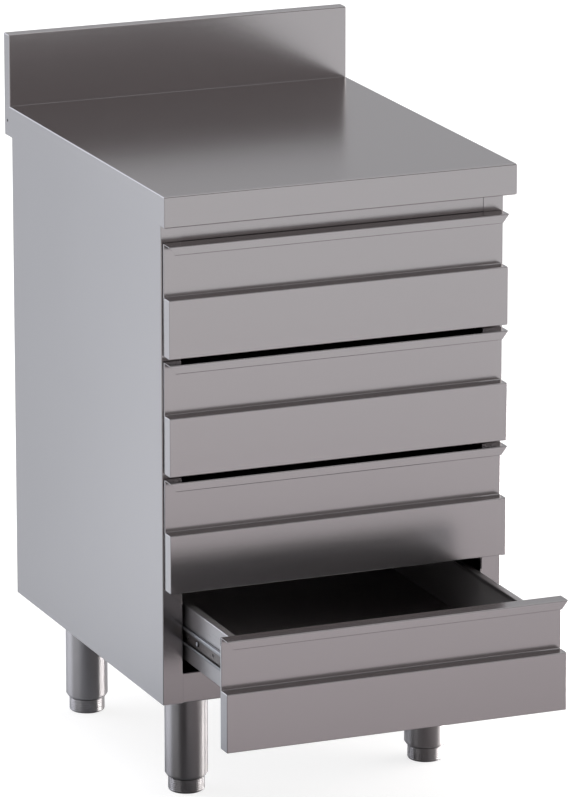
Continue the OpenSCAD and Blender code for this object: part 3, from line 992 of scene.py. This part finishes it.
@dataclass(frozen=True)
class Runners(Numbered):
    """Ball-bearing runners of one drawer, on both its sides.

    On each side a channel on the uprights and a lipped channel on the box hold two rows of balls between
    them, spaced by a pressed cage.
    """

    gauge: Gauge = Gauge(1.2, 0.3)
    # Distances out from the box's side
    lip_gap: float = 0.8
    lip_out: float = 2.37
    rider_depth: float = 4.1
    ball_out: float = 3.567
    # Drawer runner's lips, ball rows and balls
    rider_lip: float = 4.5
    ball: float = 3.2
    balls: int = 5
    cage_gauge: Gauge = Gauge(0.6, 0.2)
    cage_gap: float = 1.2
    cage_hole: float = 3.42
    cage_rim: float = 0.08
    # Screws along the drawer runner
    rider_screws: tuple[float, ...] = (35.0, 155.0, 394.0)
    # Punched holes that the mill leaves for other screws
    spare_hole: float = 4.5
    spare_places: tuple[float, ...] = (68.0, 100.0, 188.0, 221.0, 300.0, 333.0)
    screw: Fastener = Fastener(shank=4.0, head=7.0, head_height=2.0, length=4.0)

    def build(self) -> None:
        """Make the two runners, the cages, the balls and the screws."""
        self.cabinet_side()
        self.drawer_side()
        self.cages()
        self.rolling()
        self.screws()

    def wall(self) -> float:
        """Return how far out the box's sides are."""
        return extent(self.name("drawer_box"))[1].x

    def middle(self) -> float:
        """Return the height of the runners' middle."""
        low, high = extent(self.name("drawer_runners"))
        return (low.z + high.z) / 2

    def strips(self, form: Form, points: list[Point], gauge: Gauge, low: float, high: float) -> None:
        """Fold one section on both sides of the box.

        Args:
            form: The form that gets them.
            points: Distance from the box's side and height over the runner's middle of each corner.
            gauge: The strip's sheet.
            low: Start of the strip along the drawer.
            high: End of the strip.
        """
        for _, side in SIDES:
            path = [(side * (self.wall() + out), self.middle() + up) for out, up in points]
            form.folded(View.FRONT, path if side < 0 else path[::-1], gauge, low, high)

    def cabinet_side(self) -> None:
        """Fold the channels that are screwed to the uprights, with lips that keep the balls in."""
        low, high = extent(self.name("cabinet_runners"))
        half = (high.z - low.z) / 2
        depth = high.x - self.wall()
        lip = half - self.lip_out + self.lip_gap
        path = [
            (self.lip_gap, lip), (self.lip_out, half), (depth, half), (depth, -half), (self.lip_out, -half),
            (self.lip_gap, -lip),
        ]
        form = Form()
        self.strips(form, path, self.gauge, low.y, high.y)
        self.keep(
            form, "runner_channels", "cabinet", ZINC, "zinc_steel", "cabinet_runners",
            self.gauge.thickness, inside=GREASED,
        )

    def drawer_side(self) -> None:
        """Fold and pierce the lipped channels that are screwed to the box."""
        low, high = extent(self.name("drawer_runners"))
        half = (high.z - low.z) / 2
        path = [
            (self.rider_depth, self.rider_lip - half), (self.rider_depth, -half), (0, -half), (0, half),
            (self.rider_depth, half), (self.rider_depth, half - self.rider_lip),
        ]
        form = Form()
        self.strips(form, path, self.gauge, low.y, high.y)
        for _, side in SIDES:
            for place in self.spare_places:
                form.hole((side * self.wall(), low.y + place, self.middle()), (1, 0, 0), self.spare_hole)
        self.keep(
            form, "runner_slides", self.name("drawer"), ZINC, "zinc_steel", "drawer_runners",
            self.gauge.thickness, inside=GREASED,
        )

    def ball_places(self, up: float) -> list[Vector]:
        """Return the places of the balls, with the rows so far over and under the runners' middle."""
        low, high = extent(self.name("ball_cages"))
        pitch = (high.y - low.y) / self.balls
        start = (low.y + high.y) / 2 - pitch * (self.balls - 1) / 2
        return [
            Vector((side * (self.wall() + self.ball_out), start + i * pitch, self.middle() + edge * up))
            for _, side in SIDES
            for i in range(self.balls)
            for edge in (-1, 1)
        ]

    def cages(self) -> None:
        """Press the cages, with a pocket for each ball."""
        low, high = extent(self.name("ball_cages"))
        half = (high.z - low.z) / 2
        out = high.x - self.wall()
        path = [(self.cage_gap, half), (out, half), (out, -half), (self.cage_gap, -half)]
        form = Form()
        self.strips(form, path, self.cage_gauge, low.y, high.y)
        for at in self.ball_places(half):
            form.hole(at, (0, 0, 1), self.cage_hole)
        self.keep(
            form, "ball_spacers", self.name("ball_cage"), CAGE_STEEL, "cage_steel", "ball_cages",
            self.cage_gauge.thickness, rim=self.cage_rim,
        )

    def rolling(self) -> None:
        """Lap the balls."""
        low, high = extent(self.name("runner_balls"))
        form = Form()
        for at in self.ball_places((high.z - low.z - self.ball) / 2):
            place = Matrix.Translation(at)
            bmesh.ops.create_icosphere(form.mesh, subdivisions=2, radius=self.ball / 2, matrix=place)
        body = self.name("ball_cage")
        self.keep(form, "bearing_balls", body, BALL_STEEL, "ball_steel", "runner_balls", rim=0)

    def screws(self) -> None:
        """Turn the screws that hold the drawer runners to the box."""
        start = extent(self.name("drawer_box"))[0].y
        form = Form()
        for _, side in SIDES:
            for place in self.rider_screws:
                at = (side * (self.wall() + self.gauge.thickness), start + place, self.middle())
                self.screw.put(form, at, (-side, 0, 0))
        self.keep(form, "pan_head_screws", self.name("drawer"), ZINC, "zinc_steel", "box_screws", rim=0)


@dataclass(frozen=True)
class Fixings:
    """Screws of the cabinet runners and bolts of the legs."""

    runner_screw: Fastener = Fastener(shank=4.0, head=7.0, head_height=2.0, length=8.0)
    runner_sheet: float = 1.2
    # From a runner's end to the middle of the upright that it is screwed to
    screw_inset: float = 20.0
    # Bolts and nuts, and the leg plate and channel that they hold together
    bolt: Fastener = Fastener(shank=6.0, head=10.8, head_height=3.6, length=11.0, sides=6, bevel=0.7)
    nut: Fastener = Fastener(shank=6.0, head=10.8, head_height=4.8, length=0.6, sides=6, bevel=0.7)
    bolt_pitch: float = 64.0
    grip: float = 5.0
    leg_places: tuple[Point, ...] = ((-175.0, -178.5), (175.0, -178.5), (-175.0, 198.5), (175.0, 198.5))

    def build(self) -> None:
        """Make every screw and bolt."""
        self.runner_screws()
        self.leg_bolts()

    def runner_screws(self) -> None:
        """Turn the screws through the cabinet runners into the uprights."""
        form = Form()
        for number in DRAWERS:
            low, high = extent(f"cabinet_runners_{number}")
            for _, side in SIDES:
                for y in (low.y + self.screw_inset, high.y - self.screw_inset):
                    at = (side * (high.x - self.runner_sheet), y, (low.z + high.z) / 2)
                    self.runner_screw.put(form, at, (side, 0, 0))
        form.piece("runner_pan_screws", "cabinet", ZINC, "zinc_steel", ("runner_screws",), rim=0)

    def leg_bolts(self) -> None:
        """Turn the bolts through the leg plates and channels, and their nuts."""
        under = extent("leg_bolts")[0].z + self.bolt.head_height
        reach = self.bolt_pitch / 2
        form = Form()
        for x, y in self.leg_places:
            for at in ((x + across, y + deep) for across in (-reach, reach) for deep in (-reach, reach)):
                self.bolt.put(form, (*at, under), (0, 0, 1))
                self.nut.put(form, (*at, under + self.grip), (0, 0, -1))
        form.piece("leg_hex_bolts", "cabinet", ZINC, "zinc_steel", ("leg_bolts",), rim=0)


@dataclass(frozen=True)
class Leg:
    """Leg: a tube with a spun-in taper, welded under a square plate, and the turned foot in its end."""

    place: str
    radius: float = 29.0
    wall: float = 1.5
    taper: float = 3.0
    taper_height: float = 4.5
    plate: float = 3.0
    plate_corner: float = 4.0
    rim: float = 0.25
    bead: float = 2.5
    # How far the weld bead runs into the tube and into the plate
    bead_root: Point = (0.2, 0.1)
    # Corners of its round, out from the tube and down from the plate, as shares of its size
    bead_round: tuple[Point, ...] = ((0.8, 0.45), (0.4, 0.85))
    steps: int = 96
    # Foot
    foot_radius: float = 24.5
    foot_height: float = 20.0
    sole: float = 3.5
    sole_steps: int = 5
    chamfer: float = 0.5
    groove: float = 0.5
    groove_pitch: float = 2.7
    stem: float = 8.0
    thread_pitch: float = 2.0
    thread_depth: float = 1.2
    # Half the width of a thread's foot and of its crest
    thread_foot: float = 0.9
    thread_crest: float = 0.2

    def build(self) -> None:
        """Make the leg and its foot."""
        self.leg()
        self.foot()

    def leg(self) -> None:
        """Turn the tube and its weld bead and cut the plate."""
        low, high = extent(f"leg_{self.place}")
        centre = ((low.x + high.x) / 2, (low.y + high.y) / 2)
        under = high.z - self.plate
        corners = [(low.x, low.y), (high.x, low.y), (high.x, high.y), (low.x, high.y)]
        form = Form()
        form.prism(View.PLAN, corners, under, high.z)
        form.soften(self.plate_corner, lambda at: under < at.z < high.z)
        shoulder = low.z + self.taper_height
        tube = [
            (self.radius - self.wall, under), (self.radius, under), (self.radius, shoulder),
            (self.radius - self.taper, low.z), (self.radius - self.taper - self.wall, low.z),
            (self.radius - self.wall, shoulder),
        ]
        form.turned(tube, centre, self.steps)
        inner, upper = self.radius - self.bead_root[0], under + self.bead_root[1]
        bead = [(inner, upper), (self.radius + self.bead, upper)]
        bead += [(self.radius + self.bead * out, under - self.bead * down) for out, down in self.bead_round]
        bead.append((inner, under - self.bead))
        form.turned(bead, centre, self.steps)
        node = f"leg_{self.place}"
        form.piece(f"leg_tube_{self.place}", "cabinet", LEG_STEEL, "leg_steel", (node,), rim=self.rim)

    def foot(self) -> None:
        """Turn the foot: a rounded sole, grip rings and a threaded stem."""
        node = f"foot_{self.place}"
        low, high = extent(node)
        outline: list[Point] = [(0, 0)]
        for step in range(self.sole_steps + 1):
            turn = math.pi / 2 * step / self.sole_steps
            inward = self.sole * (1 - math.sin(turn))
            outline.append((self.foot_radius - inward, self.sole * (1 - math.cos(turn))))
        height = self.sole + self.groove_pitch / 2
        while height < self.foot_height - self.groove_pitch / 2:
            outline += [
                (self.foot_radius, height - 2 * self.groove),
                (self.foot_radius - self.groove, height),
                (self.foot_radius, height + 2 * self.groove),
            ]
            height += self.groove_pitch
        core = self.stem - self.thread_depth
        outline += [
            (self.foot_radius, self.foot_height - self.chamfer),
            (self.foot_radius - self.chamfer, self.foot_height),
            (core, self.foot_height),
        ]
        height = self.foot_height + self.thread_pitch
        while height < high.z - self.thread_pitch:
            outline += [
                (core, height - self.thread_foot), (self.stem, height - self.thread_crest),
                (self.stem, height + self.thread_crest), (core, height + self.thread_foot),
            ]
            height += self.thread_pitch
        outline += [(core, high.z), (0, high.z)]
        form = Form()
        form.turned(outline, ((low.x + high.x) / 2, (low.y + high.y) / 2), self.steps, closed=False)
        form.piece(f"foot_cup_{self.place}", node, FOOT_STEEL, "leg_steel", (node,), rim=0)


@dataclass(frozen=True)
class Glow:
    """Soft patch of the room's walls or ceiling, as seen from the cabinet."""

    toward: Triple
    # Angles from its middle where it starts to fade and where it has gone, in degrees
    full: float
    faded: float
    light: Triple


@dataclass(frozen=True)
class Studio:
    """Room, floor, lamps and camera of the photograph.

    Ground steel shows nothing but what stands round it, so the room's walls give off the soft greys that lie
    on the cabinet in the photograph, and the floor has them as painted light and shade. To the camera the
    floor and the room are white.
    """

    # Camera: its place in millimetres, its own axes and its lens
    eye_mm: Triple = (-3190.5, -7843.7, 2781.6)
    eye_right: Triple = (0.924460, -0.381278, -0.000627)
    eye_down: Triple = (-0.100557, -0.242226, -0.964995)
    eye_ahead: Triple = (0.367780, 0.892162, -0.262269)
    lens_mm: float = 291.7
    # Nearest and farthest that it sees, in metres
    clip_m: Point = (0.1, 100.0)
    # Light of the room's walls, and the brighter and darker patches on them
    room: Triple = (0.2, 0.19, 0.19)
    glows: tuple[Glow, ...] = (
        Glow((0, 0, 1), 15, 50, (1.3, 1.3, 1.33)),
        Glow((-1, -0.1, 0.25), 18, 40, (0.8, 0.78, 0.78)),
        Glow((0.7, 0.6, 0.25), 20, 45, (1.6, 1.55, 1.5)),
        Glow((0.368, 0.892, 0.262), 18, 30, (0.57, 0.565, 0.58)),
        Glow((0.3, -0.92, 0.262), 15, 34, (0.4, 0.36, 0.36)),
        Glow((-0.42, 0.86, 0.30), 16, 30, (1.5, 1.55, 1.7)),
        Glow((-0.74, 0.64, 0.30), 14, 30, (3.0, 3.05, 3.3)),
        Glow((-0.42, -0.88, 0.262), 24, 42, (0.06, 0.045, 0.045)),
        Glow((0.97, -0.16, 0.3), 20, 38, (4.5, 4.3, 4.2)),
    )
    # Floor's half width in metres, and directions on it: to the front right, across that line, and to the
    # right across the camera's line of sight
    floor_size: float = 30.0
    outward: Triple = (0.381, -0.924, 0.0)
    across: Triple = (0.924, 0.381, 0.0)
    sideways: Triple = (0.924, -0.381, 0.0)
    # Painted light: lightness painted on the floor by distance outward, in metres, where the fronts mirror it
    ahead: tuple[Point, ...] = (
        (0.4, 0.28), (0.88, 0.49), (1.28, 0.545), (1.87, 0.605), (2.45, 0.655), (3.04, 0.7), (3.4, 0.7),
    )
    # Painted light by distance across, where the side panel mirrors it
    beside: tuple[Point, ...] = ((-0.45, 0.82), (-0.328, 0.81), (-0.115, 0.59), (0.1, 0.55))
    # Painted shade by distance sideways, laid as if the camera stood in the way of the light
    shaded: tuple[Point, ...] = ((-0.8, 1.0), (-0.27, 0.14), (-0.13, 0.14), (0.05, 1.0), (0.36, 1.0))
    # Distances outward over which the painted light in front takes over and the painted shade sets in
    ahead_from: Point = (0.1, 0.4)
    shaded_from: Point = (-0.15, 0.02)
    # Tints of the painted light: cool where the side panel mirrors the floor, warm near the cabinet in front
    cool: Triple = (0.957, 0.998, 1.046)
    warm: Triple = (1.06, 0.965, 0.985)
    # Floor as the camera sees it: its paint, which takes the cabinet's shadow, and its own light
    white_paint: float = 0.3
    white_light: float = 0.8
    daylight: float = 0.95
    # Width of the daylight's source in the sky, in degrees
    daylight_width: float = 100.0
    # Strip light: its place to the right and its span towards the back and upwards, in millimetres
    strip_x: float = 750.0
    strip_y: Point = (-500.0, 300.0)
    strip_z: Point = (0.0, 350.0)
    strip_strength: float = 14.0
    strip_colour: tuple[float, ...] = (1.0, 0.97, 0.95, 1.0)

    def build(self) -> None:
        """Make the camera, the floor, the world and the lamps."""
        self.camera()
        self.floor()
        self.world()
        self.lamps()
        self.strip_light()

    def camera(self) -> None:
        """Stand the camera where the photograph was taken."""
        data = bpy.data.cameras.new("camera")
        data.lens = self.lens_mm
        data.clip_start, data.clip_end = self.clip_m
        camera = placed("camera", data)
        axes = (Vector(self.eye_right), -Vector(self.eye_down), -Vector(self.eye_ahead))
        turn = Matrix(axes).transposed().to_4x4()
        camera.matrix_world = Matrix.Translation(Vector(self.eye_mm) * MM) @ turn
        bpy.context.scene.camera = camera

    @staticmethod
    def blank(owner: Any) -> Tree:
        """Return the node tree of a material or a world, emptied."""
        owner.use_nodes = True
        owner.node_tree.nodes.clear()
        return owner.node_tree

    def painted(self, name: str, shape: bmesh.types.BMesh, paint: str) -> tuple[bpy.types.Object, Tree]:
        """Make a piece of the studio, with a material that is still empty.

        Args:
            name: The piece's name.
            shape: Its mesh in metres, which is used up.
            paint: Name of its material.

        Returns:
            The piece, and its material's empty node tree.
        """
        mesh = bpy.data.meshes.new(name)
        shape.to_mesh(mesh)
        shape.free()
        material = bpy.data.materials.new(paint)
        mesh.materials.append(material)
        return placed(name, mesh), self.blank(material)

    @staticmethod
    def along(tree: Tree, place: Socket, axis: Iterable[float]) -> Socket:
        """Measure a position along an axis, in metres."""
        links = {0: place, 1: axis}
        return add_node(tree, "ShaderNodeVectorMath", {"operation": "DOT_PRODUCT"}, links).outputs["Value"]

    @staticmethod
    def ramp(
        tree: Tree,
        distance: Socket,
        stops: tuple[Point, ...],
        near: Triple = (1.0, 1.0, 1.0),
        far: Triple = (1.0, 1.0, 1.0),
    ) -> Socket:
        """Turn a distance into a lightness.

        Args:
            tree: The node tree.
            distance: The distance.
            stops: Distance and lightness of each stop.
            near: Tint at the first stop.
            far: Tint at the last stop.

        Returns:
            The tinted lightness.
        """
        first, last = stops[0][0], stops[-1][0]
        made = add_node(tree, "ShaderNodeValToRGB", links={"Fac": ranged(tree, distance, (first, last))})
        elements = made.color_ramp.elements
        for at, _ in stops[1:-1]:
            elements.new((at - first) / (last - first))
        for element, (_, light) in zip(elements, stops):
            tint = Vector(near).lerp(Vector(far), element.position)
            element.color = (*(tint * light), 1)
        return made.outputs["Color"]

    @staticmethod
    def to_camera(tree: Tree, others: Socket, camera: Socket) -> Socket:
        """Show one shader to the camera and another one to all other rays."""
        ray = add_node(tree, "ShaderNodeLightPath").outputs["Is Camera Ray"]
        return add_node(tree, "ShaderNodeMixShader", links={0: ray, 1: others, 2: camera}).outputs["Shader"]

    def floor(self) -> None:
        """Lay the floor: pale with painted light and shade for all rays but the camera's, with the cabinet's
        shadow, and white to the camera.
        """
        shape = bmesh.new()
        bmesh.ops.create_grid(shape, x_segments=1, y_segments=1, size=self.floor_size)
        floor, tree = self.painted("floor", shape, "floor_paint")
        place = add_node(tree, "ShaderNodeTexCoord").outputs["Object"]
        ways = (self.outward, self.across, self.sideways)
        out, across, sideways = (self.along(tree, place, way) for way in ways)
        # Painted light and shade: the floor's colour is lighter or darker by place, and only rays that are
        # not the camera's see it
        pale = mixed(
            tree,
            ranged(tree, out, self.ahead_from, kind="SMOOTHSTEP"),
            self.ramp(tree, across, self.beside, self.cool, self.cool),
            self.ramp(tree, out, self.ahead, near=self.warm),
        )
        close = ranged(tree, out, self.shaded_from, kind="SMOOTHSTEP")
        shadowed = mixed(tree, close, pale, self.ramp(tree, sideways, self.shaded), "MULTIPLY")
        matt = add_node(tree, "ShaderNodeBsdfDiffuse", links={"Color": shadowed})
        # The camera sees a white floor that keeps a little of the cabinet's shadow
        paint = add_node(tree, "ShaderNodeBsdfDiffuse", links={"Color": (*[self.white_paint] * 3, 1)})
        light = add_node(tree, "ShaderNodeEmission", links={"Color": WHITE, "Strength": self.white_light})
        both = {0: paint.outputs["BSDF"], 1: light.outputs["Emission"]}
        seen = add_node(tree, "ShaderNodeAddShader", links=both)
        surface = self.to_camera(tree, matt.outputs["BSDF"], seen.outputs["Shader"])
        add_node(tree, "ShaderNodeOutputMaterial", links={"Surface": surface})

    def world(self) -> None:
        """Surround the scene with a soft grey room, white to the camera."""
        world = bpy.data.worlds.new("studio")
        bpy.context.scene.world = world
        tree = self.blank(world)
        place = add_node(tree, "ShaderNodeTexCoord").outputs["Generated"]
        light: Any = (*self.room, 1)
        for glow in self.glows:
            closeness = self.along(tree, place, Vector(glow.toward).normalized())
            limits = (math.cos(math.radians(glow.faded)), math.cos(math.radians(glow.full)))
            light = mixed(tree, ranged(tree, closeness, limits, kind="SMOOTHSTEP"), light, (*glow.light, 1))
        room, white = (
            add_node(tree, "ShaderNodeBackground", links={"Color": colour}).outputs["Background"]
            for colour in (light, WHITE)
        )
        add_node(tree, "ShaderNodeOutputWorld", links={"Surface": self.to_camera(tree, room, white)})

    def lamps(self) -> None:
        """Light the room evenly from above."""
        data = bpy.data.lights.new("ceiling", "SUN")
        data.energy = self.daylight
        data.angle = math.radians(self.daylight_width)
        placed("ceiling", data).visible_glossy = False

    def strip_light(self) -> None:
        """Stand a low strip light on the right, which only the steel mirrors."""
        (front, back), (low, high) = self.strip_y, self.strip_z
        corners = [(self.strip_x, y, z) for y, z in ((front, low), (back, low), (back, high), (front, high))]
        shape = bmesh.new()
        shape.faces.new([shape.verts.new(Vector(corner) * MM) for corner in corners])
        card, tree = self.painted("strip_light", shape, "strip_light_glow")
        links = {"Color": self.strip_colour, "Strength": self.strip_strength}
        light = add_node(tree, "ShaderNodeEmission", links=links)
        add_node(tree, "ShaderNodeOutputMaterial", links={"Surface": light.outputs["Emission"]})
        card.visible_camera = False
        card.visible_diffuse = False
        card.visible_shadow = False


SLOT_FINISHES: dict[str, Finish] = {
    "worktop_steel": WORKTOP_STEEL,
    "panel_steel": BODY_STEEL,
    "front_steel": FRONT_STEEL,
    "box_steel": BOX_STEEL,
    "frame_steel": CHANNEL_STEEL,
    "leg_steel": LEG_STEEL,
    "zinc_steel": ZINC,
    "cage_steel": CAGE_STEEL,
    "ball_steel": BALL_STEEL,
    "board": BOARD,
}


def dress(nodes: Iterable[bpy.types.Object]) -> None:
    """Give each CAD node that stays the finish of its material slot.

    Args:
        nodes: The CAD nodes' objects.
    """
    for node in nodes:
        finish = SLOT_FINISHES[node.data.materials[0].name]
        node.data.materials.clear()
        node.data.materials.append(finish.material())


def main() -> None:
    """Build the scene piece by piece."""
    logging.basicConfig(level=logging.INFO, format="%(name)s: %(message)s")
    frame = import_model()
    Studio().build()
    dress(frame["nodes"].values())
    Worktop().build()
    Carcass().build()
    for number in DRAWERS:
        Drawer(number).build()
        Runners(number).build()
    Fixings().build()
    for end in ("front", "rear"):
        for side, _ in SIDES:
            Leg(f"{end}_{side}").build()
    bpy.context.scene.view_settings.view_transform = "Standard"


if __name__ == "__main__":
    main()
